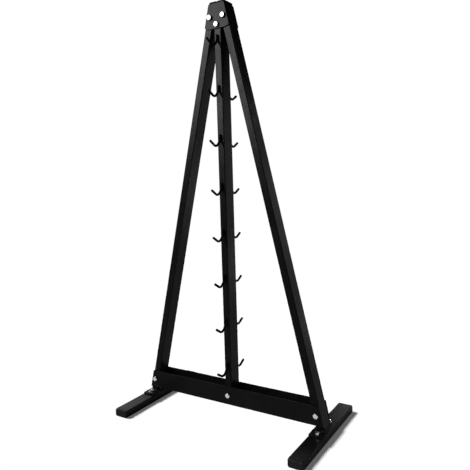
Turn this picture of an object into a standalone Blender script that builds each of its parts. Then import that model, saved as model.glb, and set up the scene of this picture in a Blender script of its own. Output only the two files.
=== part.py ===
"""Free-standing A-frame rack for cable attachments.

Two splayed legs and an upright centre post of rectangular tube are clamped
between two head plates at the top and two crossbar plates near the floor.
Each leg stands on a base plate that is bolted to a tube foot, and the post
carries eight levels of round-rod hooks on its front and on its rear face.

Metres.  +X runs along the rack's width, -Y is the front, +Z is up, and the
origin is on the floor under the middle of the rack.
"""

from math import atan, cos, pi, radians, sin, sqrt, tan

import bmesh
import bpy
from mathutils import Matrix, Vector

# ---------------------------------------------------------------- dimensions
GAP = 0.0003                  # air left between two pieces that touch

HEIGHT = 1.6425               # floor to the top of the leg caps
TUBE_DEPTH = 0.060            # front to back, every upright tube
TUBE_WIDTH = 0.030            # narrow face of every tube
TUBE_WALL = 0.002
TUBE_CORNER = 0.003           # outer corner radius

LEG_SLOPE = 0.2390            # sideways run of a leg for each metre of height
LEG_FLOOR_X = 0.4099          # where a leg's centreline meets the floor plane

FOOT_X = 0.3983               # centreline of a foot
FOOT_LENGTH = 0.496           # over its two end caps
FOOT_WIDTH = TUBE_DEPTH       # the same tube, lying flat
FOOT_HEIGHT = TUBE_WIDTH
CAP_FLANGE = 0.006            # thickness of a cap's head
CAP_CORNER = 0.0065           # rounding of a cap's four long corners
CAP_EDGE = 0.004              # rounding of a cap's outer rim
CAP_PLUG = 0.018              # how far a cap's plug reaches into the tube
CAP_WALL = 0.002
LEG_CAP_CORNER = 0.0035       # the leg caps are crisper and stand out a little
LEG_CAP_EDGE = 0.0015
LEG_CAP_LIP = 0.001           # how far a leg cap's head stands out from its tube

BASE_LENGTH = 0.144           # base plate, front to back
BASE_WIDTH = 0.060
BASE_THICK = 0.005
BASE_CORNER = 0.004
FOOT_BOLT_X = 0.3983
FOOT_BOLT_Y = 0.050

PLATE_THICK = 0.005
PLATE_EDGE = 0.0009           # broken edge of every plate
HEAD_TOP = 1.6348
HEAD_BOTTOM = 1.542
HEAD_FLAT = 0.034             # half of the level part of its lower edge
HEAD_CORNER = 0.0065
HEAD_BOLT_X = 0.0298
HEAD_BOLT_Z = 1.5852
HEAD_POST_BOLT_Z = 1.5563

BAR_BOTTOM = 0.0545
BAR_HEIGHT = 0.0750
BAR_OVERHANG = 0.0012         # past the outer face of a leg
BAR_CORNER = 0.002
BAR_BOLT_X = 0.3850
BAR_BOLT_Z = 0.0937

POST_BOTTOM = 0.057
POST_TOP = 1.580

HOOK_ROD = 0.0095
HOOK_LEVELS = 8
HOOK_TOP_Z = 1.4746           # level of the top hooks, about their rods' lowest point
HOOK_PITCH_HIGH = 0.1868      # between the upper four levels
HOOK_PITCH_LOW = 0.1816       # below them
HOOK_WIDE_GAPS = 3
HOOK_SHANK_TOP = 0.0443       # rod end above the hook's level
HOOK_KNEE = 0.0209            # height where the rod leaves the post
HOOK_KNEE_RADIUS = 0.012
HOOK_BOTTOM_OUT = 0.0580      # corner of the two slopes, from the post's axis
HOOK_BOTTOM_DROP = -0.0062
HOOK_BOTTOM_RADIUS = 0.0225
HOOK_TIP_OUT = 0.0985
HOOK_TIP_RISE = 0.0175
HOOK_REACH = 0.005            # the front hooks reach this much further out than
                              # the figures above, the rear ones this much less

BOLT_D = 0.012
BOLT_HOLE_D = 0.013
HEX_AF = 0.019                # across the flats
HEAD_THICK = 0.0075
NUT_THICK = 0.010
FLANGE_NUT_THICK = 0.012
FLANGE_D = 0.026
WASHER_THICK = 0.0025
WASHER_D = 0.030              # wide washer under each foot bolt
THREAD_SHOWING = 0.003        # bolt end beyond its nut
FOOT_BOLT_LENGTH = 0.025
BOLT_SIDES = 12

LEG_TILT = atan(LEG_SLOPE)
BASE_TOP = FOOT_HEIGHT + GAP + BASE_THICK
CLAMP_FACE = TUBE_DEPTH / 2 + GAP               # inner face of a clamp plate
PLATE_FACE = CLAMP_FACE + PLATE_THICK           # its outer face


# ------------------------------------------------------------------ materials
def material(name, colour, roughness, metallic):
    mat = bpy.data.materials.new(name)
    mat.use_nodes = True
    shader = mat.node_tree.nodes["Principled BSDF"]
    shader.inputs["Base Color"].default_value = (*colour, 1.0)
    shader.inputs["Roughness"].default_value = roughness
    shader.inputs["Metallic"].default_value = metallic
    mat.diffuse_color = (*colour, 1.0)
    return mat


# ------------------------------------------------------------- shape builders
def rounded(corners, radius, steps, inset=0.0):
    """A convex outline, anticlockwise, drawn `inset` inside the given corners
    with each corner turned into an arc of steps + 1 points."""
    points = []
    n = len(corners)
    for i in range(n):
        p = Vector(corners[i - 1])
        c = Vector(corners[i])
        q = Vector(corners[(i + 1) % n])
        a = (c - p).normalized()
        b = (q - c).normalized()
        na = Vector((-a.y, a.x))
        nb = Vector((-b.y, b.x))
        turn = a.angle(b)
        out = (na + nb).normalized() / cos(turn / 2)
        r = max(radius - inset, 0.0003)
        centre = c + out * (inset + r)
        start = -na
        for k in range(steps + 1):
            t = turn * k / steps
            d = Vector((start.x * cos(t) - start.y * sin(t), start.x * sin(t) + start.y * cos(t)))
            points.append(centre + d * r)
    return points


def rectangle(width, depth):
    w, d = width / 2, depth / 2
    return [(-w, -d), (w, -d), (w, d), (-w, d)]


def loft(bm, rings, endless=False):
    """Skin a row of equal rings of points; both ends are closed with a face,
    or the last ring is joined to the first."""
    loops = [[bm.verts.new(p) for p in ring] for ring in rings]
    pairs = list(zip(loops, loops[1:]))
    if endless:
        pairs.append((loops[-1], loops[0]))
    for one, two in pairs:
        n = len(one)
        for i in range(n):
            j = (i + 1) % n
            bm.faces.new((one[i], one[j], two[j], two[i]))
    if not endless:
        bm.faces.new(loops[0][::-1])
        bm.faces.new(loops[-1])


def slab_rings(outline, lift, low, high, edge, steps=2):
    """Rings of a plate from `low` to `high` along its thickness, with its two
    rims rounded by `edge`."""
    rings = []
    for k in range(steps + 1):
        a = pi / 2 * k / steps
        rings.append((edge * (1 - sin(a)), low + edge * (1 - cos(a))))
    for k in range(steps + 1):
        a = pi / 2 * (1 - k / steps)
        rings.append((edge * (1 - sin(a)), high - edge * (1 - cos(a))))
    return [[lift(u, v, w) for u, v in outline(inset)] for inset, w in rings]


def shared(name, bm, mat, angle=32):
    """The finished mesh of one piece, which several objects may share."""
    bmesh.ops.recalc_face_normals(bm, faces=bm.faces[:])
    mesh = bpy.data.meshes.new(name)
    bm.to_mesh(mesh)
    bm.free()
    mesh.shade_smooth()
    mesh.set_sharp_from_angle(angle=radians(angle))
    mesh.materials.append(mat)
    return mesh


def finish(name, bm, mat, location=(0, 0, 0), parent=None):
    return place(name, shared(name, bm, mat), location, 0.0, parent)


def place(name, mesh, location=(0, 0, 0), turn=0.0, parent=None):
    obj = bpy.data.objects.new(name, mesh)
    bpy.context.scene.collection.objects.link(obj)
    obj.location = location
    obj.rotation_euler = (0, 0, turn)
    obj.parent = parent
    return obj


def cylinder(bm, centre, axis, radius, length, sides):
    """A closed round bar centred on `centre` along axis 1 (Y) or 2 (Z)."""
    rings = []
    for s in (-0.5, 0.5):
        ring = []
        for k in range(sides):
            a = 2 * pi * (k + 0.5) / sides
            u, v = radius * cos(a), radius * sin(a)
            if axis == 1:
                ring.append((centre[0] + u, centre[1] + s * length, centre[2] + v))
            else:
                ring.append((centre[0] + u, centre[1] + v, centre[2] + s * length))
        rings.append(ring)
    loft(bm, rings)


def cutter(name, bars, axis, radius, length, sides, parent):
    bm = bmesh.new()
    for centre in bars:
        cylinder(bm, centre, axis, radius, length, sides)
    bmesh.ops.recalc_face_normals(bm, faces=bm.faces[:])
    mesh = bpy.data.meshes.new(name)
    bm.to_mesh(mesh)
    bm.free()
    obj = place(name, mesh, parent=parent)
    obj.hide_render = True
    obj.display_type = "WIRE"
    return obj


def drill(obj, tool):
    mod = obj.modifiers.new("holes", "BOOLEAN")
    mod.operation = "DIFFERENCE"
    mod.solver = "EXACT"
    mod.object = tool


def cap_rings(ring, corner=CAP_CORNER, edge=CAP_EDGE, lip=0.0):
    """Rings of a tube cap by their depth behind its outer face: the rounded
    rim, the head down to the tube's end and the hollow plug inside the tube."""
    fit = TUBE_WALL + GAP
    rings = []
    for k in range(4):
        a = pi / 2 * k / 3
        rings.append(ring(edge * (1 - cos(a)), edge * (1 - sin(a)) - lip, corner))
    return rings + [
        ring(CAP_FLANGE, -lip, TUBE_CORNER),
        ring(CAP_FLANGE, fit, TUBE_CORNER),
        ring(CAP_FLANGE + CAP_PLUG, fit, TUBE_CORNER),
        ring(CAP_FLANGE + CAP_PLUG, fit + CAP_WALL, TUBE_CORNER),
        ring(CAP_FLANGE, fit + CAP_WALL, TUBE_CORNER),
    ]


# -------------------------------------------------------------------- uprights
def leg_x(z):
    return LEG_FLOOR_X - LEG_SLOPE * z


def upright(name, mat, bottom, top, side, parent):
    """A hollow tube with level ends, leaning by the leg slope on `side`
    (-1 or 1) or standing plumb with side 0.  Its origin is at the middle of
    its lower end."""
    stretch = 1 / cos(LEG_TILT) if side else 1.0
    lean = -LEG_SLOPE * side
    bm = bmesh.new()

    def ring(z, inset):
        outline = rounded(rectangle(TUBE_WIDTH, TUBE_DEPTH), TUBE_CORNER, 3, inset)
        return [(u * stretch + lean * z, v, z) for u, v in outline]

    length = top - bottom
    loft(bm, [ring(0, 0), ring(length, 0), ring(length, TUBE_WALL), ring(0, TUBE_WALL)], endless=True)
    x = side * leg_x(bottom)
    return finish(name, bm, mat, (x, 0, bottom), parent=parent)


def leg_cap(name, mat, side, parent):
    """Plastic cap on the level top end of a leg: a flat head with a narrow lip
    and a hollow plug.  Its origin is at the top."""
    stretch = 1 / cos(LEG_TILT)

    def ring(depth, inset, radius):
        outline = rounded(rectangle(TUBE_WIDTH, TUBE_DEPTH), radius, 3, inset)
        return [(u * stretch + side * LEG_SLOPE * depth, v, -depth) for u, v in outline]

    bm = bmesh.new()
    loft(bm, cap_rings(ring, LEG_CAP_CORNER, LEG_CAP_EDGE, LEG_CAP_LIP))
    return finish(name, bm, mat, (side * leg_x(HEIGHT), 0, HEIGHT), parent=parent)


# ------------------------------------------------------------------ flat plates
def head_outline():
    def outer(z):
        return leg_x(z) + TUBE_WIDTH / 2 / cos(LEG_TILT)

    # the side runs flush with the leg; the lower edge leaves it at a right angle
    rise = LEG_SLOPE * (outer(HEAD_BOTTOM) - HEAD_FLAT) / (1 + LEG_SLOPE ** 2)
    low_z = HEAD_BOTTOM + rise
    return [
        (-HEAD_FLAT, HEAD_BOTTOM), (HEAD_FLAT, HEAD_BOTTOM), (outer(low_z), low_z),
        (outer(HEAD_TOP), HEAD_TOP), (-outer(HEAD_TOP), HEAD_TOP), (-outer(low_z), low_z),
    ]


def bar_outline():
    def end(z):
        return leg_x(z) + TUBE_WIDTH / 2 / cos(LEG_TILT) + BAR_OVERHANG

    low, high = BAR_BOTTOM, BAR_BOTTOM + BAR_HEIGHT
    return [(-end(low), low), (end(low), low), (end(high), high), (-end(high), high)]


def clamp_plate(name, mat, corners, radius, side, parent):
    """A plate standing in the XZ plane, in front (side -1) of or behind
    (side 1) the tubes.  Its origin is on the rack's middle line, at its lower
    edge and on its clamping face."""
    z0 = min(z for _, z in corners)
    y0 = side * CLAMP_FACE
    bm = bmesh.new()
    loft(bm, slab_rings(
        lambda inset: rounded(corners, radius, 4, inset),
        lambda u, v, w: (u, side * w, v - z0),
        0.0, PLATE_THICK, PLATE_EDGE))
    return finish(name, bm, mat, (0, y0, z0), parent=parent)


def base_plate(name, mat, side, parent):
    bm = bmesh.new()
    loft(bm, slab_rings(
        lambda inset: rounded(rectangle(BASE_WIDTH, BASE_LENGTH), BASE_CORNER, 3, inset),
        lambda u, v, w: (u, v, w),
        0.0, BASE_THICK, PLATE_EDGE))
    return finish(name, bm, mat, (side * FOOT_X, 0, FOOT_HEIGHT + GAP), parent=parent)


# ------------------------------------------------------------------------ feet
def foot_tube(name, mat, side, parent):
    half = FOOT_LENGTH / 2 - CAP_FLANGE - GAP
    bm = bmesh.new()

    def ring(y, inset):
        outline = rounded(rectangle(FOOT_WIDTH, FOOT_HEIGHT), TUBE_CORNER, 3, inset)
        return [(u, y, v) for u, v in outline]

    loft(bm, [ring(-half, 0), ring(half, 0), ring(half, TUBE_WALL), ring(-half, TUBE_WALL)], endless=True)
    return finish(name, bm, mat, (side * FOOT_X, 0, FOOT_HEIGHT / 2), parent=parent)


def cap_mesh(name, mat):
    """End cap of a foot.  Its origin is on the tube's axis, at the outer face,
    and it points to -Y."""
    def ring(depth, inset, radius):
        outline = rounded(rectangle(FOOT_WIDTH, FOOT_HEIGHT), radius, 3, inset)
        return [(u, depth, v) for u, v in outline]

    bm = bmesh.new()
    loft(bm, cap_rings(ring))
    return shared(name, bm, mat, 40)


# ----------------------------------------------------------------------- hooks
def hook_path(reach):
    """Centreline of a hook as (distance from the post's axis, height above
    its level): down the post, out along a slope, round the bottom and up
    along the second slope to the tip."""
    shank = TUBE_DEPTH / 2 + GAP + HOOK_ROD / 2
    corners = [
        Vector((shank, HOOK_SHANK_TOP)),
        Vector((shank, HOOK_KNEE)),
        Vector((HOOK_BOTTOM_OUT + reach, HOOK_BOTTOM_DROP)),
        Vector((HOOK_TIP_OUT + reach, HOOK_TIP_RISE)),
    ]
    bends = {1: (HOOK_KNEE_RADIUS, 3), 2: (HOOK_BOTTOM_RADIUS, 7)}
    path = [corners[0]]
    for i, (radius, steps) in bends.items():
        a = (corners[i] - corners[i - 1]).normalized()
        b = (corners[i + 1] - corners[i]).normalized()
        turn = a.angle(b)
        tangent = radius * tan(turn / 2)
        start = corners[i] - a * tangent
        normal = Vector((-a.y, a.x))
        centre = start + normal * radius
        for k in range(steps + 1):
            t = turn * k / steps
            d = -normal
            path.append(centre + radius * Vector((d.x * cos(t) - d.y * sin(t), d.x * sin(t) + d.y * cos(t))))
    path.append(corners[3])
    return path


def hook_height(level):
    wide = min(level, HOOK_WIDE_GAPS)
    return HOOK_TOP_Z - HOOK_PITCH_HIGH * wide - HOOK_PITCH_LOW * (level - wide)


def hook_mesh(name, mat, reach, sides=10):
    path = hook_path(reach)
    r = HOOK_ROD / 2
    chamfer = 0.0008
    rings = []
    n = len(path)
    for i, p in enumerate(path):
        a = (path[i] - path[i - 1]).normalized() if i else (path[1] - path[0]).normalized()
        b = (path[i + 1] - path[i]).normalized() if i < n - 1 else a
        along = (a + b).normalized()
        across = Vector((-along.y, along.x))
        grow = 1 / max(cos(a.angle(b) / 2), 0.5) if 0 < i < n - 1 else 1.0

        def ring(at, radius):
            out = []
            for k in range(sides):
                t = 2 * pi * (k + 0.5) / sides
                q = at + across * (radius * cos(t) * grow)
                out.append((radius * sin(t), -q.x, q.y))
            return out

        if i == 0:
            rings.append(ring(p, r - chamfer))
            rings.append(ring(p + along * chamfer, r))
        elif i == n - 1:
            rings.append(ring(p - along * chamfer, r))
            rings.append(ring(p, r - chamfer))
        else:
            rings.append(ring(p, r))
    bm = bmesh.new()
    loft(bm, rings)
    return shared(name, bm, mat, 45)


# ------------------------------------------------------------------- fasteners
# Each is made along its own axis: +Z points out of a bolt's head, and z = 0 is
# the plane that the bolt, the nut or the washer bears on.
def circle(radius, z, sides=BOLT_SIDES):
    return [(radius * cos(2 * pi * k / sides), radius * sin(2 * pi * k / sides), z) for k in range(sides)]


def hexagon(z, turned_down=0.0):
    """Twelve points: the six corners, which may be turned down from the
    plane, and the middles of the six flats."""
    points = []
    for k in range(12):
        corner = k % 2 == 0
        r = HEX_AF / sqrt(3) if corner else HEX_AF / 2
        fall = turned_down if corner else turned_down * 0.25
        points.append((r * cos(pi * k / 6), r * sin(pi * k / 6), z - fall))
    return points


def bolt_mesh(name, mat, length):
    r = BOLT_D / 2
    bm = bmesh.new()
    loft(bm, [
        circle(r - 0.001, -length),
        circle(r, -length + 0.001),
        circle(r, 0),
        hexagon(0),
        hexagon(HEAD_THICK, 0.0013),
        circle(HEX_AF / 2 * 0.93, HEAD_THICK),
    ])
    return shared(name, bm, mat)


def flange_nut_mesh(name, mat):
    hole = BOLT_D / 2 + GAP + 0.0002
    rim = FLANGE_D / 2
    bm = bmesh.new()
    loft(bm, [
        circle(hole, 0),
        circle(rim, 0),
        circle(rim, 0.0014),
        circle(HEX_AF / sqrt(3) + 0.0002, 0.0026),
        hexagon(0.0032),
        hexagon(FLANGE_NUT_THICK, 0.0013),
        circle(HEX_AF / 2 * 0.93, FLANGE_NUT_THICK),
        circle(hole, FLANGE_NUT_THICK),
    ], endless=True)
    return shared(name, bm, mat)


def weld_nut_mesh(name, mat):
    hole = BOLT_D / 2 + GAP + 0.0002
    bm = bmesh.new()
    loft(bm, [
        circle(hole, 0),
        hexagon(0),
        hexagon(NUT_THICK, 0.0013),
        circle(HEX_AF / 2 * 0.93, NUT_THICK),
        circle(hole, NUT_THICK),
    ], endless=True)
    return shared(name, bm, mat)


def washer_mesh(name, mat, diameter, sides=20):
    hole = BOLT_HOLE_D / 2
    bm = bmesh.new()
    loft(bm, [
        circle(hole, 0, sides),
        circle(diameter / 2, 0, sides),
        circle(diameter / 2, WASHER_THICK, sides),
        circle(hole, WASHER_THICK, sides),
    ], endless=True)
    return shared(name, bm, mat)


def point(name, mesh, at, tilt, spin, parent):
    """Place a fastener with its head tilted about X from straight up."""
    obj = place(name, mesh, at, parent=parent)
    obj.rotation_euler = (Matrix.Rotation(tilt, 3, "X") @ Matrix.Rotation(spin, 3, "Z")).to_euler()
    return obj


def through_bolts(prefix, places, bolt, nut, parent):
    """Bolts from the front, each with a flange nut behind the rear plate."""
    seat = PLATE_FACE + GAP
    for k, (word, x, z) in enumerate(places):
        spin = radians(14 + 23 * k)
        point(f"{prefix}_bolt_{word}", bolt, (x, -seat, z), pi / 2, spin, parent)
        point(f"{prefix}_nut_{word}", nut, (x, seat, z), -pi / 2, spin + 0.4, parent)


def foot_fasteners(bolt, wide_washer, nut, parent):
    """Bolts down through each base plate into a nut welded in the foot."""
    on_plate = BASE_TOP + GAP
    for k, (hand, sx, word, sy) in enumerate([("left", -1, "front", -1), ("left", -1, "rear", 1),
                                              ("right", 1, "front", -1), ("right", 1, "rear", 1)]):
        x, y = sx * FOOT_BOLT_X, sy * FOOT_BOLT_Y
        spin = radians(9 + 31 * k)
        point(f"foot_washer_{hand}_{word}", wide_washer, (x, y, on_plate), 0, spin, parent)
        point(f"foot_bolt_{hand}_{word}", bolt, (x, y, on_plate + WASHER_THICK + GAP), 0, spin, parent)
        point(f"foot_nut_{hand}_{word}", nut, (x, y, FOOT_HEIGHT - TUBE_WALL - GAP), pi, spin, parent)


# ---------------------------------------------------------------------- build
def main():
    for obj in list(bpy.data.objects):
        bpy.data.objects.remove(obj, do_unlink=True)

    coat = material("black_powder_coat", (0.016, 0.017, 0.018), 0.42, 0.0)
    hook_coat = material("hook_powder_coat", (0.012, 0.012, 0.013), 0.38, 0.0)
    zinc = material("bright_zinc", (0.74, 0.74, 0.73), 0.28, 1.0)
    plastic = material("black_plastic", (0.022, 0.023, 0.024), 0.55, 0.0)

    rack = bpy.data.objects.new("rack", None)
    bpy.context.scene.collection.objects.link(rack)

    head_bolts = [("left", -HEAD_BOLT_X, HEAD_BOLT_Z), ("post", 0, HEAD_POST_BOLT_Z), ("right", HEAD_BOLT_X, HEAD_BOLT_Z)]
    bar_bolts = [("left", -BAR_BOLT_X, BAR_BOLT_Z), ("post", 0, BAR_BOLT_Z), ("right", BAR_BOLT_X, BAR_BOLT_Z)]
    level_holes = cutter("level_holes", [(x, 0, z) for _, x, z in head_bolts + bar_bolts], 1,
                         BOLT_HOLE_D / 2, 0.12, 16, rack)
    plumb_holes = cutter("plumb_holes",
                         [(sx * FOOT_BOLT_X, sy * FOOT_BOLT_Y, 0.035) for sx in (-1, 1) for sy in (-1, 1)],
                         2, BOLT_HOLE_D / 2, 0.028, 16, rack)

    post = upright("centre_post", coat, POST_BOTTOM, POST_TOP, 0, rack)
    drill(post, level_holes)
    for side, word in ((-1, "left"), (1, "right")):
        leg = upright(f"{word}_leg", coat, BASE_TOP + GAP, HEIGHT - CAP_FLANGE - GAP, side, rack)
        drill(leg, level_holes)
        leg_cap(f"{word}_leg_cap", plastic, side, rack)
        drill(base_plate(f"{word}_base_plate", coat, side, rack), plumb_holes)
        drill(foot_tube(f"{word}_foot_tube", coat, side, rack), plumb_holes)

    for side, word in ((-1, "front"), (1, "rear")):
        drill(clamp_plate(f"head_plate_{word}", coat, head_outline(), HEAD_CORNER, side, rack), level_holes)
        drill(clamp_plate(f"crossbar_plate_{word}", coat, bar_outline(), BAR_CORNER, side, rack), level_holes)

    cap = cap_mesh("foot_cap", plastic)
    for sx, hand in ((-1, "left"), (1, "right")):
        for sy, word, turn in ((-1, "front", 0.0), (1, "rear", pi)):
            place(f"{hand}_foot_cap_{word}", cap, (sx * FOOT_X, sy * FOOT_LENGTH / 2, FOOT_HEIGHT / 2), turn, rack)

    front_hook = hook_mesh("front_hook", hook_coat, HOOK_REACH)
    rear_hook = hook_mesh("rear_hook", hook_coat, -HOOK_REACH)
    for level in range(HOOK_LEVELS):
        z = hook_height(level)
        place(f"hook_front_{level + 1}", front_hook, (0, 0, z), 0.0, rack)
        place(f"hook_rear_{level + 1}", rear_hook, (0, 0, z), pi, rack)

    grip = 2 * (PLATE_FACE + GAP)
    long_bolt = bolt_mesh("long_bolt", zinc, grip + FLANGE_NUT_THICK + THREAD_SHOWING)
    flange_nut = flange_nut_mesh("flange_nut", zinc)
    through_bolts("head", head_bolts, long_bolt, flange_nut, rack)
    through_bolts("crossbar", bar_bolts, long_bolt, flange_nut, rack)
    foot_fasteners(bolt_mesh("short_bolt", zinc, FOOT_BOLT_LENGTH), washer_mesh("wide_washer", zinc, WASHER_D),
                   weld_nut_mesh("weld_nut", zinc), rack)


main()
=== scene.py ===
from math import atan, cos, pi, radians, sin, sqrt, tan

import bmesh
import bpy
from mathutils import Matrix, Vector


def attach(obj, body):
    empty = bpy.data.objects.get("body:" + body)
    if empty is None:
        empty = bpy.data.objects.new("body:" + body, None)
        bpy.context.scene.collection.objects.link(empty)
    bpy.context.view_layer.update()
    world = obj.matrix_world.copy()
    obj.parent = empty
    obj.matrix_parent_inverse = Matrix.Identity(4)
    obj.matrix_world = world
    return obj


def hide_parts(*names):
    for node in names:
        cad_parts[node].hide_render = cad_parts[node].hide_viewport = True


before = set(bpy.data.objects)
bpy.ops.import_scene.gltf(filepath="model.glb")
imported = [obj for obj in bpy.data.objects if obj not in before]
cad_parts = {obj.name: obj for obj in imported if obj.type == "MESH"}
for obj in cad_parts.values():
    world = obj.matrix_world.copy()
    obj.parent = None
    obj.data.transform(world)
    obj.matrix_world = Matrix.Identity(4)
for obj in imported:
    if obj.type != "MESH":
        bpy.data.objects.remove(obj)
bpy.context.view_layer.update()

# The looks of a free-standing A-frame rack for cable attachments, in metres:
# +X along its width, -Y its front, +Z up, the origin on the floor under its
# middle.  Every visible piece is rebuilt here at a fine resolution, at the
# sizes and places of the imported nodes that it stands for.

SCENE = bpy.context.scene

# ---------------------------------------------------------------- dimensions
GAP = 0.0003

HEIGHT = 1.6425
TUBE_DEPTH = 0.060
TUBE_WIDTH = 0.030
TUBE_WALL = 0.002
TUBE_CORNER = 0.003

LEG_SLOPE = 0.2390
LEG_FLOOR_X = 0.4099
LEG_TILT = atan(LEG_SLOPE)

FOOT_X = 0.3983
FOOT_LENGTH = 0.496
FOOT_WIDTH = TUBE_DEPTH
FOOT_HEIGHT = TUBE_WIDTH
CAP_FLANGE = 0.006
CAP_CORNER = 0.0065
CAP_EDGE = 0.004
CAP_PLUG = 0.018
CAP_WALL = 0.002
LEG_CAP_CORNER = 0.0035
LEG_CAP_EDGE = 0.0015
LEG_CAP_LIP = 0.001

BASE_LENGTH = 0.144
BASE_WIDTH = 0.060
BASE_THICK = 0.005
BASE_CORNER = 0.004
BASE_TOP = FOOT_HEIGHT + GAP + BASE_THICK
FOOT_BOLT_Y = 0.050

PLATE_THICK = 0.005
PLATE_EDGE = 0.0009
HEAD_TOP = 1.6348
HEAD_BOTTOM = 1.542
HEAD_FLAT = 0.034
HEAD_CORNER = 0.0065
HEAD_BOLT_X = 0.0298
HEAD_BOLT_Z = 1.5852
HEAD_POST_BOLT_Z = 1.5563
CLAMP_FACE = TUBE_DEPTH / 2 + GAP
PLATE_FACE = CLAMP_FACE + PLATE_THICK

BAR_BOTTOM = 0.0545
BAR_HEIGHT = 0.0750
BAR_OVERHANG = 0.0012
BAR_CORNER = 0.002
BAR_BOLT_X = 0.3850
BAR_BOLT_Z = 0.0937

POST_BOTTOM = 0.057
POST_TOP = 1.580

HOOK_ROD = 0.0095
HOOK_LEVELS = 8
HOOK_TOP_Z = 1.4746
HOOK_PITCH_HIGH = 0.1868
HOOK_PITCH_LOW = 0.1816
HOOK_WIDE_GAPS = 3
HOOK_SHANK_TOP = 0.0443
HOOK_KNEE = 0.0209
HOOK_KNEE_RADIUS = 0.012
HOOK_BOTTOM_OUT = 0.0580
HOOK_BOTTOM_DROP = -0.0062
HOOK_BOTTOM_RADIUS = 0.0225
HOOK_TIP_OUT = 0.0985
HOOK_TIP_RISE = 0.0175
HOOK_REACH = 0.005            # more on the front, less on the rear

BOLT_D = 0.012
THREAD_PITCH = 0.00175
HEX_AF = 0.019
HEAD_THICK = 0.0075
FLANGE_NUT_THICK = 0.012
FLANGE_D = 0.026
WASHER_THICK = 0.0025
WASHER_D = 0.030
THREAD_SHOWING = 0.003
FOOT_BOLT_LENGTH = 0.025

WELD = 0.0042                 # leg of a weld fillet


# ------------------------------------------------------------------ materials
class Tree:
    """A small helper that wires the nodes of one material."""

    def __init__(self, name):
        self.mat = bpy.data.materials.new(name)
        self.mat.use_nodes = True
        self.nodes = self.mat.node_tree.nodes
        self.links = self.mat.node_tree.links
        self.shader = self.nodes["Principled BSDF"]
        self.coords = self.nodes.new("ShaderNodeTexCoord").outputs["Object"]

    def link(self, a, b):
        self.links.new(a, b)

    def noise(self, scale, detail=2.0, rough=0.5, stretch=(1, 1, 1), distortion=0.0):
        mapping = self.nodes.new("ShaderNodeMapping")
        mapping.inputs["Scale"].default_value = stretch
        self.link(self.coords, mapping.inputs["Vector"])
        node = self.nodes.new("ShaderNodeTexNoise")
        node.inputs["Scale"].default_value = scale
        node.inputs["Detail"].default_value = detail
        node.inputs["Roughness"].default_value = rough
        node.inputs["Distortion"].default_value = distortion
        self.link(mapping.outputs["Vector"], node.inputs["Vector"])
        return node.outputs["Fac"]

    def cells(self, scale, feature="F1", randomness=1.0):
        node = self.nodes.new("ShaderNodeTexVoronoi")
        node.feature = feature
        node.inputs["Scale"].default_value = scale
        node.inputs["Randomness"].default_value = randomness
        self.link(self.coords, node.inputs["Vector"])
        return node.outputs["Distance"]

    def spread(self, value, low, high, out_low, out_high):
        node = self.nodes.new("ShaderNodeMapRange")
        node.interpolation_type = "SMOOTHSTEP"
        node.inputs["From Min"].default_value = low
        node.inputs["From Max"].default_value = high
        node.inputs["To Min"].default_value = out_low
        node.inputs["To Max"].default_value = out_high
        self.link(value, node.inputs["Value"])
        return node.outputs["Result"]

    def blend(self, value, one, two):
        node = self.nodes.new("ShaderNodeMix")
        node.data_type = "RGBA"
        node.inputs["A"].default_value = (*one, 1) if isinstance(one, tuple) else (0, 0, 0, 1)
        node.inputs["B"].default_value = (*two, 1) if isinstance(two, tuple) else (0, 0, 0, 1)
        if not isinstance(one, tuple):
            self.link(one, node.inputs["A"])
        if not isinstance(two, tuple):
            self.link(two, node.inputs["B"])
        self.link(value, node.inputs["Factor"])
        return node.outputs["Result"]

    def sum(self, a, b, operation="ADD"):
        node = self.nodes.new("ShaderNodeMath")
        node.operation = operation
        for value, socket in ((a, node.inputs[0]), (b, node.inputs[1])):
            if isinstance(value, (int, float)):
                socket.default_value = value
            else:
                self.link(value, socket)
        return node.outputs["Value"]

    def bump(self, height, distance, strength=1.0, under=None):
        node = self.nodes.new("ShaderNodeBump")
        node.inputs["Strength"].default_value = strength
        node.inputs["Distance"].default_value = distance
        self.link(height, node.inputs["Height"])
        if under is not None:
            self.link(under, node.inputs["Normal"])
        return node.outputs["Normal"]


def powder_coat(name, colour, lighter, roughness, grain, flow, gloss):
    """Baked powder: a fine pebbled skin over a slow orange peel, with a
    slightly uneven tone and a little dust-grey in it."""
    t = Tree(name)
    cloud = t.noise(9.0, 3.0, 0.55)
    speck = t.noise(1900.0, 1.0, 0.6)
    tone = t.sum(t.spread(cloud, 0.35, 0.68, 0.0, 0.6), t.spread(speck, 0.45, 0.72, 0.0, 0.5))
    t.link(t.blend(tone, colour, lighter), t.shader.inputs["Base Color"])
    handled = t.noise(22.0, 4.0, 0.6, distortion=0.6)
    t.link(t.spread(handled, 0.3, 0.72, roughness - 0.035, roughness + 0.045), t.shader.inputs["Roughness"])
    peel = t.bump(t.noise(380.0, 2.0, 0.5), flow)
    t.link(t.bump(t.noise(1500.0, 2.0, 0.55), grain, under=peel), t.shader.inputs["Normal"])
    t.shader.inputs["IOR"].default_value = gloss
    return t.mat


def zinc_plate(name, bright, cloudy):
    """Bright zinc on rolled steel: cool, slightly cloudy, finely marked."""
    t = Tree(name)
    cloud = t.noise(160.0, 4.0, 0.6, distortion=0.4)
    spot = t.noise(620.0, 2.0, 0.5)
    tone = t.sum(t.spread(cloud, 0.38, 0.66, 0.0, 0.75), t.spread(spot, 0.5, 0.75, 0.0, 0.25))
    t.link(t.blend(tone, bright, cloudy), t.shader.inputs["Base Color"])
    t.link(t.spread(cloud, 0.3, 0.7, 0.13, 0.24), t.shader.inputs["Roughness"])
    t.link(t.bump(t.noise(2600.0, 3.0, 0.6, (1, 1, 0.35)), 0.000012), t.shader.inputs["Normal"])
    t.shader.inputs["Metallic"].default_value = 1.0
    return t.mat


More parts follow.
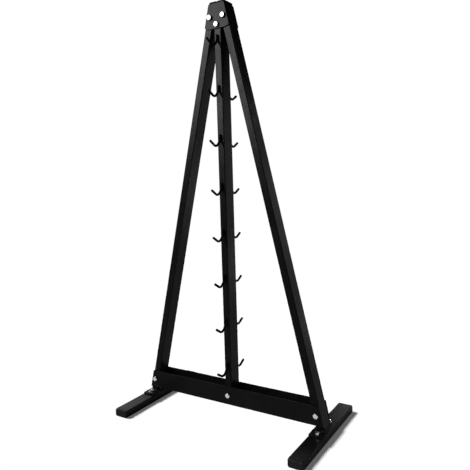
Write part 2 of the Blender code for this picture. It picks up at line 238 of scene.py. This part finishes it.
def moulded_plastic(name, colour, lighter):
    """Black polyethylene with the spark-eroded grain of its mould."""
    t = Tree(name)
    cloud = t.noise(35.0, 3.0, 0.6)
    t.link(t.blend(t.spread(cloud, 0.35, 0.7, 0.0, 1.0), colour, lighter), t.shader.inputs["Base Color"])
    t.link(t.spread(t.noise(90.0, 3.0, 0.6), 0.3, 0.7, 0.47, 0.6), t.shader.inputs["Roughness"])
    pits = t.bump(t.cells(1150.0), 0.00005, 0.8)
    t.link(t.bump(t.noise(2400.0, 2.0, 0.6), 0.00003, under=pits), t.shader.inputs["Normal"])
    t.shader.inputs["IOR"].default_value = 1.33
    return t.mat


COAT = powder_coat("black_powder_coat", (0.0052, 0.0056, 0.0058), (0.0098, 0.0102, 0.0101), 0.30, 0.00004, 0.00003, 1.2)
# The hooks' coat is the rack's own powder coat made darker and less glossy: painted shade that keeps the round rods
# near black.
HOOK_COAT_PAINTED_SHADE = powder_coat("hook_powder_coat", (0.0035, 0.0036, 0.0037), (0.0070, 0.0071, 0.0069), 0.34, 0.000025, 0.00003, 1.1)
ZINC = zinc_plate("bright_zinc", (0.83, 0.84, 0.85), (0.68, 0.67, 0.645))
# The foot washers' zinc is the bright zinc made darker: painted shade, for the shade they sit in under the bolt heads.
WASHER_ZINC_PAINTED_SHADE = zinc_plate("washer_zinc_painted_shade", (0.36, 0.365, 0.37), (0.27, 0.268, 0.26))
PLASTIC = moulded_plastic("black_plastic", (0.0075, 0.0079, 0.0081), (0.013, 0.0134, 0.0132))


# -------------------------------------------------------------- shape builders
def rounded(corners, radius, steps, inset=0.0):
    """A convex outline, anticlockwise, drawn `inset` inside the given corners
    with each corner turned into an arc of steps + 1 points."""
    points = []
    n = len(corners)
    for i in range(n):
        p, c, q = Vector(corners[i - 1]), Vector(corners[i]), Vector(corners[(i + 1) % n])
        a, b = (c - p).normalized(), (q - c).normalized()
        na, nb = Vector((-a.y, a.x)), Vector((-b.y, b.x))
        turn = a.angle(b)
        out = (na + nb).normalized() / cos(turn / 2)
        r = max(radius - inset, 0.0003)
        centre = c + out * (inset + r)
        for k in range(steps + 1):
            t = turn * k / steps
            d = Vector((-na.x * cos(t) + na.y * sin(t), -na.x * sin(t) - na.y * cos(t)))
            points.append(centre + d * r)
    return points


def rectangle(width, depth):
    w, d = width / 2, depth / 2
    return [(-w, -d), (w, -d), (w, d), (-w, d)]


def loft(bm, rings, endless=False, caps=True):
    loops = [[bm.verts.new(p) for p in ring] for ring in rings]
    pairs = list(zip(loops, loops[1:]))
    if endless:
        pairs.append((loops[-1], loops[0]))
    for one, two in pairs:
        n = len(one)
        for i in range(n):
            j = (i + 1) % n
            bm.faces.new((one[i], one[j], two[j], two[i]))
    if caps and not endless:
        bm.faces.new(loops[0][::-1])
        bm.faces.new(loops[-1])


def slab_rings(outline, lift, low, high, edge, steps=5):
    rings = []
    for k in range(steps + 1):
        a = pi / 2 * k / steps
        rings.append((edge * (1 - sin(a)), low + edge * (1 - cos(a))))
    for k in range(steps + 1):
        a = pi / 2 * (1 - k / steps)
        rings.append((edge * (1 - sin(a)), high - edge * (1 - cos(a))))
    return [[lift(u, v, w) for u, v in outline(inset)] for inset, w in rings]


def piece(name, bm, mat, nodes=(), angle=35, weighted=True, holes=None):
    """Turns a bmesh into a shown piece that rides on the rack."""
    bmesh.ops.recalc_face_normals(bm, faces=bm.faces[:])
    mesh = bpy.data.meshes.new(name)
    bm.to_mesh(mesh)
    bm.free()
    mesh.shade_smooth()
    mesh.materials.append(mat)
    obj = bpy.data.objects.new(name, mesh)
    SCENE.collection.objects.link(obj)
    if holes is not None:
        drill = obj.modifiers.new("holes", "BOOLEAN")
        drill.operation = "DIFFERENCE"
        drill.solver = "EXACT"
        drill.object = holes
        bpy.context.view_layer.update()
        done = bpy.data.meshes.new_from_object(obj.evaluated_get(bpy.context.evaluated_depsgraph_get()))
        obj.modifiers.clear()
        obj.data = done
        bpy.data.meshes.remove(mesh)
        done.name = name
        mesh = done
    mesh.set_sharp_from_angle(angle=radians(angle))
    if weighted:
        even = obj.modifiers.new("even_shading", "WEIGHTED_NORMAL")
        even.mode = "FACE_AREA"
        even.weight = 90
        even.keep_sharp = True
    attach(obj, "root")
    if nodes:
        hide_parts(*nodes)
    return obj


def drills():
    """The bolt holes, as closed bars that are cut out of the pieces."""
    def bars(name, places, axis, radius, length):
        bm = bmesh.new()
        for x, y, z in places:
            rings = []
            for s in (-0.5, 0.5):
                ring = []
                for k in range(40):
                    a = 2 * pi * (k + 0.5) / 40
                    u, v = radius * cos(a), radius * sin(a)
                    ring.append((x + u, y + s * length, z + v) if axis == 1 else (x + u, y + v, z + s * length))
                rings.append(ring)
            loft(bm, rings)
        bmesh.ops.recalc_face_normals(bm, faces=bm.faces[:])
        mesh = bpy.data.meshes.new(name)
        bm.to_mesh(mesh)
        bm.free()
        obj = bpy.data.objects.new(name, mesh)
        SCENE.collection.objects.link(obj)
        return obj

    level = [(x, 0, z) for _, x, z in HEAD_BOLTS + BAR_BOLTS]
    plumb = [(sx * FOOT_X, sy * FOOT_BOLT_Y, 0.035) for sx in (-1, 1) for sy in (-1, 1)]
    return bars("level_drill", level, 1, 0.0065, 0.12), bars("plumb_drill", plumb, 2, 0.0065, 0.028)


HEAD_BOLTS = [("left", -HEAD_BOLT_X, HEAD_BOLT_Z), ("post", 0, HEAD_POST_BOLT_Z), ("right", HEAD_BOLT_X, HEAD_BOLT_Z)]
BAR_BOLTS = [("left", -BAR_BOLT_X, BAR_BOLT_Z), ("post", 0, BAR_BOLT_Z), ("right", BAR_BOLT_X, BAR_BOLT_Z)]


def cap_rings(ring, corner=CAP_CORNER, edge=CAP_EDGE, lip=0.0):
    """Rings of a tube cap by their depth behind its outer face.  Its section
    goes over from a well rounded face to the tube's own corners."""
    fit = TUBE_WALL + GAP
    rings = []
    for k in range(9):
        a = pi / 2 * k / 8
        rings.append(ring(edge * (1 - cos(a)), edge * (1 - sin(a)) - lip, corner))
    for k in range(1, 5):
        f = k / 4
        rings.append(ring(edge + (CAP_FLANGE - edge) * f, -lip, corner + (TUBE_CORNER - corner) * f * f))
    end = CAP_FLANGE + CAP_PLUG
    return rings + [ring(CAP_FLANGE, fit, TUBE_CORNER), ring(end, fit, TUBE_CORNER),
                    ring(end, fit + CAP_WALL, TUBE_CORNER), ring(CAP_FLANGE, fit + CAP_WALL, TUBE_CORNER)]


# --------------------------------------------------------------------- uprights
def leg_x(z):
    return LEG_FLOOR_X - LEG_SLOPE * z


def upright(node, bottom, top, side, holes):
    stretch = 1 / cos(LEG_TILT) if side else 1.0
    bm = bmesh.new()

    def ring(z, inset):
        outline = rounded(rectangle(TUBE_WIDTH, TUBE_DEPTH), TUBE_CORNER, 8, inset)
        return [(u * stretch + side * leg_x(z) if side else u, v, z) for u, v in outline]

    loft(bm, [ring(bottom, 0), ring(top, 0), ring(top, TUBE_WALL), ring(bottom, TUBE_WALL)], endless=True)
    return piece(node + "_tube", bm, COAT, [node], holes=holes)


def leg_cap(node, side):
    stretch = 1 / cos(LEG_TILT)

    def ring(depth, inset, radius):
        outline = rounded(rectangle(TUBE_WIDTH, TUBE_DEPTH), radius, 9, inset)
        z = HEIGHT - depth
        return [(u * stretch + side * leg_x(z), v, z) for u, v in outline]

    bm = bmesh.new()
    loft(bm, cap_rings(ring, LEG_CAP_CORNER, LEG_CAP_EDGE, LEG_CAP_LIP))
    return piece(node + "_plastic", bm, PLASTIC, [node], angle=40)


# ----------------------------------------------------------------- flat plates
def head_outline():
    def outer(z):
        return leg_x(z) + TUBE_WIDTH / 2 / cos(LEG_TILT)

    rise = LEG_SLOPE * (outer(HEAD_BOTTOM) - HEAD_FLAT) / (1 + LEG_SLOPE ** 2)
    low_z = HEAD_BOTTOM + rise
    return [
        (-HEAD_FLAT, HEAD_BOTTOM), (HEAD_FLAT, HEAD_BOTTOM), (outer(low_z), low_z),
        (outer(HEAD_TOP), HEAD_TOP), (-outer(HEAD_TOP), HEAD_TOP), (-outer(low_z), low_z),
    ]


def bar_outline():
    def end(z):
        return leg_x(z) + TUBE_WIDTH / 2 / cos(LEG_TILT) + BAR_OVERHANG

    low, high = BAR_BOTTOM, BAR_BOTTOM + BAR_HEIGHT
    return [(-end(low), low), (end(low), low), (end(high), high), (-end(high), high)]


def clamp_plate(node, corners, radius, side, holes):
    bm = bmesh.new()
    loft(bm, slab_rings(
        lambda inset: rounded(corners, radius, 10, inset),
        lambda u, v, w: (u, side * (CLAMP_FACE + w), v),
        0.0, PLATE_THICK, PLATE_EDGE))
    return piece(node + "_steel", bm, COAT, [node], holes=holes)


def base_plate(node, side, holes):
    bm = bmesh.new()
    loft(bm, slab_rings(
        lambda inset: rounded(rectangle(BASE_WIDTH, BASE_LENGTH), BASE_CORNER, 8, inset),
        lambda u, v, w: (u + side * FOOT_X, v, w + FOOT_HEIGHT + GAP),
        0.0, BASE_THICK, PLATE_EDGE))
    return piece(node + "_steel", bm, COAT, [node], holes=holes)


# ------------------------------------------------------------------------- feet
def foot_tube(node, side, holes):
    half = FOOT_LENGTH / 2 - CAP_FLANGE - GAP
    bm = bmesh.new()

    def ring(y, inset):
        outline = rounded(rectangle(FOOT_WIDTH, FOOT_HEIGHT), TUBE_CORNER, 8, inset)
        return [(u + side * FOOT_X, y, v + FOOT_HEIGHT / 2) for u, v in outline]

    loft(bm, [ring(-half, 0), ring(half, 0), ring(half, TUBE_WALL), ring(-half, TUBE_WALL)], endless=True)
    return piece(node + "_steel", bm, COAT, [node], holes=holes)


def foot_cap(node, sx, sy):
    def ring(depth, inset, radius):
        outline = rounded(rectangle(FOOT_WIDTH, FOOT_HEIGHT), radius, 9, inset)
        return [(u + sx * FOOT_X, sy * (FOOT_LENGTH / 2 - depth), v + FOOT_HEIGHT / 2) for u, v in outline]

    bm = bmesh.new()
    loft(bm, cap_rings(ring))
    return piece(node + "_plastic", bm, PLASTIC, [node], angle=40)


# ------------------------------------------------------------------------ hooks
def hook_path(reach):
    """Centreline of a hook as (distance from the post's axis, height above its
    level)."""
    shank = TUBE_DEPTH / 2 + GAP + HOOK_ROD / 2
    corners = [
        Vector((shank, HOOK_SHANK_TOP)),
        Vector((shank, HOOK_KNEE)),
        Vector((HOOK_BOTTOM_OUT + reach, HOOK_BOTTOM_DROP)),
        Vector((HOOK_TIP_OUT + reach, HOOK_TIP_RISE)),
    ]
    bends = {1: (HOOK_KNEE_RADIUS, 10), 2: (HOOK_BOTTOM_RADIUS, 24)}
    path = [corners[0], corners[0].lerp(corners[1], 0.5)]
    for i, (radius, steps) in bends.items():
        a = (corners[i] - corners[i - 1]).normalized()
        b = (corners[i + 1] - corners[i]).normalized()
        turn = a.angle(b)
        start = corners[i] - a * (radius * tan(turn / 2))
        normal = Vector((-a.y, a.x))
        centre = start + normal * radius
        for k in range(steps + 1):
            t = turn * k / steps
            d = -normal
            path.append(centre + radius * Vector((d.x * cos(t) - d.y * sin(t), d.x * sin(t) + d.y * cos(t))))
    path.append(corners[3])
    return path


def hook_height(level):
    wide = min(level, HOOK_WIDE_GAPS)
    return HOOK_TOP_Z - HOOK_PITCH_HIGH * wide - HOOK_PITCH_LOW * (level - wide)


def hook(node, z, side, sides=28):
    """side -1 is on the front of the post, 1 on its rear."""
    path = hook_path(-side * HOOK_REACH)
    r = HOOK_ROD / 2
    soft = 0.0012                                   # rounding of the cut ends
    n = len(path)
    rings = []

    def ring(at, across, radius):
        out = []
        for k in range(sides):
            t = 2 * pi * (k + 0.5) / sides
            q = at + across * (radius * cos(t))
            out.append((-side * radius * sin(t), side * q.x, z + q.y))
        return out

    for i, p in enumerate(path):
        a = (path[i] - path[i - 1]).normalized() if i else (path[1] - path[0]).normalized()
        b = (path[i + 1] - path[i]).normalized() if i < n - 1 else a
        along = (a + b).normalized()
        across = Vector((-along.y, along.x))
        if i == 0:
            rings = [ring(p + along * (soft * (1 - cos(t))), across, r - soft * (1 - sin(t)))
                     for t in [pi / 2 * k / 5 for k in range(6)]]
        elif i == n - 1:
            rings += [ring(p - along * (soft * (1 - cos(t))), across, r - soft * (1 - sin(t)))
                      for t in [pi / 2 * (1 - k / 5) for k in range(6)]]
        else:
            rings.append(ring(p, across, r))
    bm = bmesh.new()
    loft(bm, rings)
    # painted shade: the rod takes the darker copy of the coat
    return piece(node + "_rod", bm, HOOK_COAT_PAINTED_SHADE, [node], angle=50, weighted=False)


def ripple(s, lift, pitch):
    """Height of a weld's skin along its length: overlapping crescents."""
    f = (s / pitch + 0.35 * lift) % 1.0
    return 1 - 0.16 * (1 - sin(pi * f) ** 0.7)


def fillet(bm, path, size, pitch, closed, section=9):
    """A weld bead along a path of (point, wall normal, floor normal): it fills
    the corner between a wall that faces along the first normal and a floor
    that faces along the second."""
    rings = []
    s = 0.0
    total = sum((path[i + 1][0] - path[i][0]).length for i in range(len(path) - 1))
    for i, (p, wall, floor) in enumerate(path):
        if i:
            s += (p - path[i - 1][0]).length
        taper = 1.0
        if not closed:
            edge = min(s, total - s) / (size * 1.1)
            taper = 0.35 + 0.65 * min(1.0, sqrt(max(edge, 0.0)))
        ring = [p - wall * 0.0008 - floor * 0.0008]
        for k in range(section):
            a = pi / 2 * k / (section - 1)
            w = size * taper * ripple(s, cos(2 * a), pitch)
            bulge = 0.80 + 0.06 * sin(2 * a)
            u, v = cos(a), sin(a)
            reach = w * bulge / (u + v) * (1.18 if 0 < k < section - 1 else 1.18)
            ring.append(p + wall * (u * reach * 1.06) + floor * (v * reach * 1.06))
        rings.append(ring)
    loft(bm, rings, endless=closed, caps=not closed)


def hook_welds(name, side):
    """Two beads at each hook, in the grooves between its shank and the post."""
    bm = bmesh.new()
    face = side * (TUBE_DEPTH / 2)
    for level in range(HOOK_LEVELS):
        low, high = hook_height(level) + 0.0215, hook_height(level) + HOOK_SHANK_TOP - 0.0045
        for hand in (-1, 1):
            path = []
            for k in range(31):
                z = low + (high - low) * k / 30
                path.append((Vector((hand * 0.0024, face, z)), Vector((hand, 0, 0)), Vector((0, side, 0))))
            fillet(bm, path, 0.0031, 0.0020, False)
    # painted shade: the welds take the hooks' darker copy of the coat
    return piece(name, bm, HOOK_COAT_PAINTED_SHADE, angle=60, weighted=False)


def leg_weld(name, side):
    """The bead round the foot of a leg, on its base plate."""
    stretch = 1 / cos(LEG_TILT)
    z = BASE_TOP
    outline = rounded(rectangle(TUBE_WIDTH * stretch, TUBE_DEPTH), TUBE_CORNER, 8)
    x0 = side * leg_x(z + GAP)
    n = len(outline)
    dense = []
    for i in range(n):
        a, b = outline[i], outline[(i + 1) % n]
        parts = max(1, round((b - a).length / 0.0006))
        for k in range(parts):
            dense.append(a.lerp(b, k / parts))
    path = []
    m = len(dense)
    for i, p in enumerate(dense):
        along = (dense[(i + 1) % m] - dense[i - 1]).normalized()
        path.append((Vector((x0 + p.x, p.y, z)), Vector((along.y, -along.x, 0)), Vector((0, 0, 1))))
    bm = bmesh.new()
    fillet(bm, path, WELD, 0.0030, True)
    return piece(name, bm, COAT, angle=60, weighted=False)


# -------------------------------------------------------------------- fasteners
# Each is made along its own axis: +Z points out of the bolt's head and z = 0 is
# the plane that it bears on.
ROUND = 72


def circle(radius, z):
    return [Vector((radius * cos(2 * pi * k / ROUND), radius * sin(2 * pi * k / ROUND), z)) for k in range(ROUND)]


def hex_radius(k, flat=HEX_AF, corner=0.0004):
    """Distance from the axis to the hexagon's side, with its corners broken."""
    a = (2 * pi * k / ROUND) % (pi / 3) - pi / 6
    return min(flat / 2 / cos(a), flat / sqrt(3) - corner)


def hex_ring(z, chamfer_from=None, up=1):
    """Points of the hexagon at height z; with chamfer_from, each point falls as
    a 30 degree cone that starts at that radius cuts the hexagon."""
    ring = []
    for k in range(ROUND):
        r, a = hex_radius(k), 2 * pi * k / ROUND
        fall = 0.0 if chamfer_from is None else max(0.0, r - chamfer_from) * tan(radians(30))
        ring.append(Vector((r * cos(a), r * sin(a), z - up * fall)))
    return ring


def thread(top, bottom, radius, tip):
    """Rings of a helical thread from z = top down to z = bottom, its end
    chamfered over `tip`."""
    rings = []
    steps = max(2, round((top - bottom) / (THREAD_PITCH / 8)))
    for i in range(steps + 1):
        z = top + (bottom - top) * i / steps
        ring = []
        for k in range(ROUND):
            a = 2 * pi * k / ROUND
            f = (z / THREAD_PITCH - k / ROUND) % 1.0
            cut = 0.00062 * (1 - abs(2 * f - 1)) ** 0.9
            limit = radius - 0.0013 * max(0.0, 1 - (z - bottom) / tip)
            ring.append(Vector(((min(radius - cut, limit)) * cos(a), (min(radius - cut, limit)) * sin(a), z)))
        rings.append(ring)
    return rings


def bolt_rings(length, thread_from):
    seat = HEX_AF / 2 * 0.95
    top = HEAD_THICK
    r = BOLT_D / 2
    low = thread(-thread_from, -length, r, 0.0012)[::-1]
    return low + [
        circle(r, -thread_from + 0.0004), circle(r, 0.0),
        circle(seat - 0.0002, 0.0), circle(seat, 0.00015), circle(seat, 0.0005),
        hex_ring(0.0005), hex_ring(top, seat - 0.0004),
        circle(seat - 0.0005, top), circle(seat - 0.0022, top - 0.00012), circle(seat - 0.0034, top - 0.00018),
    ]


def flange_nut_rings():
    hole = BOLT_D / 2 + GAP + 0.0002
    rim = FLANGE_D / 2
    top = FLANGE_NUT_THICK
    seat = HEX_AF / 2 * 0.95
    return [
        circle(hole, 0.0), circle(rim - 0.0004, 0.0), circle(rim - 0.0001, 0.0002), circle(rim, 0.0006),
        circle(rim - 0.0001, 0.0012), circle(rim - 0.0005, 0.0016), circle(HEX_AF / sqrt(3) + 0.0009, 0.0026),
        circle(HEX_AF / sqrt(3) + 0.0002, 0.0031), hex_ring(0.0036), hex_ring(top, seat - 0.0004),
        circle(seat - 0.0005, top), circle(hole + 0.0009, top), circle(hole, top - 0.0008),
    ]


def washer_rings():
    hole, rim, t = 0.0065, WASHER_D / 2, WASHER_THICK
    return [
        circle(hole, 0.0002), circle(hole + 0.0002, 0.0), circle(rim - 0.0003, 0.0), circle(rim, 0.0004),
        circle(rim, t - 0.0005), circle(rim - 0.0001, t - 0.0002), circle(rim - 0.0005, t),
        circle(hole + 0.0003, t), circle(hole, t - 0.0003),
    ]


def fastener(name, node, rings, endless, at, tilt, spin, mat=None):
    turn = Matrix.Rotation(tilt, 3, "X") @ Matrix.Rotation(spin, 3, "Z")
    place = Vector(at)
    bm = bmesh.new()
    loft(bm, [[turn @ p + place for p in ring] for ring in rings], endless=endless)
    return piece(name, bm, mat or ZINC, [node], angle=24, weighted=False)


def through_bolts(prefix, places):
    seat = PLATE_FACE + GAP
    grip = 2 * seat
    length = grip + FLANGE_NUT_THICK + THREAD_SHOWING
    for k, (word, x, z) in enumerate(places):
        spin = radians(14 + 23 * k)
        fastener(f"{prefix}_bolt_{word}_zinc", f"{prefix}_bolt_{word}", bolt_rings(length, 0.058), False, (x, -seat, z), pi / 2, spin)
        fastener(f"{prefix}_nut_{word}_zinc", f"{prefix}_nut_{word}", flange_nut_rings(), True, (x, seat, z), -pi / 2, spin + 0.4)


def foot_fasteners():
    on_plate = BASE_TOP + GAP
    for k, (hand, sx, word, sy) in enumerate([("left", -1, "front", -1), ("left", -1, "rear", 1),
                                              ("right", 1, "front", -1), ("right", 1, "rear", 1)]):
        x, y = sx * FOOT_X, sy * FOOT_BOLT_Y
        spin = radians(9 + 31 * k)
        tag = f"{hand}_{word}"
        # painted shade: the washer takes the darker copy of the zinc
        fastener(f"foot_washer_{tag}_zinc", f"foot_washer_{tag}", washer_rings(), True, (x, y, on_plate), 0, spin, WASHER_ZINC_PAINTED_SHADE)
        fastener(f"foot_bolt_{tag}_zinc", f"foot_bolt_{tag}", bolt_rings(FOOT_BOLT_LENGTH, 0.004), False,
                 (x, y, on_plate + WASHER_THICK + GAP), 0, spin)
        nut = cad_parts[f"foot_nut_{tag}"]
        nut.data.materials.clear()
        nut.data.materials.append(ZINC)


# ------------------------------------------------------------------------ stage
FLOOR_RADIUS = 5.0


def paper(name, tone, glow):
    """Matt white paper with a faint tooth."""
    mat = bpy.data.materials.new(name)
    mat.use_nodes = True
    nodes, links = mat.node_tree.nodes, mat.node_tree.links
    nodes.clear()
    out = nodes.new("ShaderNodeOutputMaterial")
    both = nodes.new("ShaderNodeAddShader")
    light = nodes.new("ShaderNodeEmission")
    light.inputs["Strength"].default_value = glow
    white = nodes.new("ShaderNodeBsdfDiffuse")
    grain = nodes.new("ShaderNodeTexNoise")
    grain.inputs["Scale"].default_value = 60.0
    spread = nodes.new("ShaderNodeMapRange")
    spread.inputs["To Min"].default_value = tone * 0.97
    spread.inputs["To Max"].default_value = tone * 1.03
    links.new(grain.outputs["Fac"], spread.inputs["Value"])
    links.new(spread.outputs["Result"], white.inputs["Color"])
    links.new(light.outputs["Emission"], both.inputs[0])
    links.new(white.outputs["BSDF"], both.inputs[1])
    links.new(both.outputs["Shader"], out.inputs["Surface"])
    return mat


def sheet_of_paper(name, rings, centre, mat):
    bm = bmesh.new()
    loft(bm, rings, caps=False)
    if centre:
        bm.verts.ensure_lookup_table()
        bm.faces.new(bm.verts[-len(rings[-1]):])
    bmesh.ops.recalc_face_normals(bm, faces=bm.faces[:])
    bm.faces.ensure_lookup_table()
    if bm.faces[-1].normal.z < 0:
        bmesh.ops.reverse_faces(bm, faces=bm.faces[:])
    mesh = bpy.data.meshes.new(name)
    bm.to_mesh(mesh)
    bm.free()
    if not centre:
        mesh.shade_smooth()
    mesh.materials.append(mat)
    obj = bpy.data.objects.new(name, mesh)
    SCENE.collection.objects.link(obj)
    return obj


def around(r, z):
    return [(r * cos(2 * pi * k / 64), r * sin(2 * pi * k / 64), z) for k in range(64)]


def stage():
    """A white floor, a darker sheet just under it that is all the rack's own
    reflections see of it, and a white sweep round it that closes the view."""
    def disc(z):
        return [around(r, z) for r in (FLOOR_RADIUS, 3.0, 1.6, 0.8)]

    floor = sheet_of_paper("floor", disc(-0.0004), True, paper("floor_paper", 0.95, FLOOR_GLOW))
    floor.visible_diffuse = floor.visible_glossy = floor.visible_shadow = False
    bounce = sheet_of_paper("bounce", disc(-0.0012), True, paper("bounce_paper", BOUNCE_TONE, 0.0))
    bounce.visible_camera = bounce.visible_shadow = False

    profile = [(FLOOR_RADIUS - 0.01, -0.0016)]
    for k in range(13):
        a = pi / 2 * k / 12
        profile.append((FLOOR_RADIUS + 2.0 + 4.0 * sin(a), 4.0 * (1 - cos(a))))
    profile.append((FLOOR_RADIUS + 6.0, 14.0))
    sweep = sheet_of_paper("sweep", [around(r, z) for r, z in profile], False, paper("sweep_paper", 0.1, 1.01))
    sweep.visible_diffuse = sweep.visible_glossy = sweep.visible_shadow = False
    return floor, bounce, sweep


FLOOR_GLOW = 0.118
BOUNCE_TONE = 0.31

# The lamps light the rack only.  Two small boxes at the front left draw the
# bright upper ends of the front faces, low broad ones behind it draw its right
# faces and the tops of its feet.  The bolts mirror other places than the paint
# does, so they have some lamps of their own: one of them lies on the floor and
# stands for the white that they would mirror there.
LIGHTS = [
    # name, position, what it points at, size, power, what it lights
    ("front_high", (-0.70, -1.10, 2.00), (0, 0, 1.45), 0.6, 10.4, "coat"),
    ("front_low", (-1.30, -2.20, 1.65), (0, 0, 1.45), 0.6, 14.0, "coat"),
    ("front_foot", (0.30, -0.85, 0.30), (0.40, -0.20, 0.03), 0.3, 1.2, "low"),
    ("front_high_bolts", (-0.70, -1.10, 2.00), (0, 0, 1.45), 0.6, 3.2, "bolts"),
    ("above_bolts", (0.20, -0.10, 3.00), (0.20, -0.10, 0), 1.5, 4.0, "bolts"),
    ("front_low_bolts", (-1.30, -2.20, 1.65), (0, 0, 1.45), 0.6, 10.0, "bolts"),
    ("floor_in_bolts", (-0.10, -0.75, 0.002), (-0.10, -0.75, 1), 1.3, 1.7, "bolts"),
    ("left_high", (-2.30, -1.32, 2.21), (0, 0, 0.80), 1.3, 28.0, "all"),
    ("left_back", (-2.57, 1.49, 1.22), (0, 0, 0.80), 1.3, 6.5, "all"),
    ("left_back_high", (-1.32, 2.29, 2.21), (0, 0, 0.80), 1.3, 3.6, "all"),
    ("back", (0.0, 2.97, 1.22), (0, 0, 0.80), 1.3, 5.8, "all"),
    ("back_low", (0.0, 3.20, 0.30), (0, 0, 0.10), 0.6, 16.0, "all"),
    ("right_back", (1.49, 2.57, 1.18), (0, 0, 0.80), 1.2, 2.95, "coat"),
    ("right_back_upper", (1.33, 2.75, 2.20), (0.13, 0, 1.22), 0.25, 0.5, "right_leg"),
    ("right_back_high", (2.29, 1.32, 2.21), (0, 0, 0.80), 1.3, 8.8, "coat"),
]
SKIRT = ("right_back_skirt", (1.20, 2.08, 0.25), (-0.52, 0.30, 0.33), 0.25, 2.6, radians(55))


def lamp(kind, name, receivers, blockers=None):
    data = bpy.data.lights.new(name, kind)
    obj = bpy.data.objects.new(name, data)
    obj.rotation_mode = "QUATERNION"
    obj.visible_camera = False
    obj.light_linking.receiver_collection = receivers
    if blockers is not None:
        obj.light_linking.blocker_collection = blockers
    SCENE.collection.objects.link(obj)
    return obj, data


def point_at(obj, direction):
    obj.rotation_quaternion = Vector(direction).to_track_quat("-Z", "Y")


def group(name, members):
    found = bpy.data.collections.new(name)
    for obj in members:
        found.objects.link(obj)
    return found


def lights(floor, bounce, sweep):
    papers = (floor, bounce, sweep)
    shown = [obj for obj in SCENE.objects if obj.type == "MESH" and not obj.hide_render and obj not in papers]
    whole = group("rack_pieces", shown)
    bolts = [obj for obj in shown if ZINC.name in obj.data.materials or WASHER_ZINC_PAINTED_SHADE.name in obj.data.materials]
    lit = {
        "all": whole,
        "bolts": group("bolt_pieces", bolts),
        "low": group("low_pieces", [obj for obj in shown if "foot_" in obj.name or "base_plate" in obj.name or "crossbar_plate" in obj.name]),
        "right_leg": group("right_leg_pieces", [bpy.data.objects["right_leg_tube"]]),
        "coat": group("coated_pieces", [obj for obj in shown if obj not in bolts and "_leg_cap_" not in obj.name]),
    }
    for name, at, aim, size, power, what in LIGHTS:
        obj, data = lamp("AREA", name, lit[what])
        data.shape = "SQUARE"
        data.size = size
        data.energy = power
        obj.location = at
        point_at(obj, Vector(aim) - Vector(at))

    name, at, aim, size, power, cone = SKIRT
    obj, data = lamp("SPOT", name, whole)
    data.shadow_soft_size = size
    data.spot_size = cone
    data.spot_blend = 0.22
    data.energy = power
    obj.location = at
    point_at(obj, Vector(aim) - Vector(at))

    # the paper's own light comes from the upper left, and of the rack only the
    # feet shade it, as a narrow band along their right sides
    feet = [obj for obj in shown if "_foot_" in obj.name or "_base_plate_" in obj.name]
    left = [obj for obj in feet if obj.name.startswith("left_")]
    turn, rise = radians(18), radians(51.5)
    suns = (("paper_light", floor, feet, 3.85), ("bounce_light", bounce, feet, 3.0), ("bounce_fill", bounce, left, 1.0))
    for name, sheet, shading, power in suns:
        obj, data = lamp("SUN", name, group(name + "_on", (sheet,)), group(name + "_shade", shading))
        data.energy = power
        data.angle = radians(20)
        point_at(obj, (cos(turn) * cos(rise), sin(turn) * cos(rise), -sin(rise)))

    world = bpy.data.worlds.new("studio")
    world.use_nodes = True
    world.node_tree.nodes["Background"].inputs["Color"].default_value = (1, 1, 1, 1)
    world.node_tree.nodes["Background"].inputs["Strength"].default_value = 0.0
    SCENE.world = world
    SCENE.view_settings.view_transform = "Standard"
    SCENE.view_settings.look = "None"


def camera():
    yaw, pitch, roll = radians(31.89), radians(6.05), radians(-1.66)
    away = Vector((-sin(yaw) * cos(pitch), cos(yaw) * cos(pitch), -sin(pitch)))
    right = Vector((cos(yaw), sin(yaw), 0))
    up = right.cross(away)
    across = cos(roll) * right + sin(roll) * up
    upward = -sin(roll) * right + cos(roll) * up
    data = bpy.data.cameras.new("camera")
    data.sensor_width = 36.0
    data.lens = 507.1 / 470 * 36.0
    data.clip_start, data.clip_end = 0.05, 60.0
    cam = bpy.data.objects.new("camera", data)
    cam.matrix_world = Matrix((
        (across.x, upward.x, -away.x, 1.0933),
        (across.y, upward.y, -away.y, -1.7031),
        (across.z, upward.z, -away.z, 0.9635),
        (0, 0, 0, 1)))
    SCENE.collection.objects.link(cam)
    SCENE.camera = cam


# ------------------------------------------------------------------------ build
def rack():
    level, plumb = drills()
    upright("centre_post", POST_BOTTOM, POST_TOP, 0, level)
    for side, word in ((-1, "left"), (1, "right")):
        upright(f"{word}_leg", BASE_TOP + GAP, HEIGHT - CAP_FLANGE - GAP, side, level)
        leg_cap(f"{word}_leg_cap", side)
        base_plate(f"{word}_base_plate", side, plumb)
        foot_tube(f"{word}_foot_tube", side, plumb)
        leg_weld(f"{word}_leg_weld", side)
        for sy, end in ((-1, "front"), (1, "rear")):
            foot_cap(f"{word}_foot_cap_{end}", side, sy)
    for side, word in ((-1, "front"), (1, "rear")):
        clamp_plate(f"head_plate_{word}", head_outline(), HEAD_CORNER, side, level)
        clamp_plate(f"crossbar_plate_{word}", bar_outline(), BAR_CORNER, side, level)
        for k in range(HOOK_LEVELS):
            hook(f"hook_{word}_{k + 1}", hook_height(k), side)
        hook_welds(f"hook_welds_{word}", side)
    through_bolts("head", HEAD_BOLTS)
    through_bolts("crossbar", BAR_BOLTS)
    foot_fasteners()
    for tool in (level, plumb):
        bpy.data.objects.remove(tool)


rack()
lights(*stage())
camera()
bpy.context.view_layer.update()
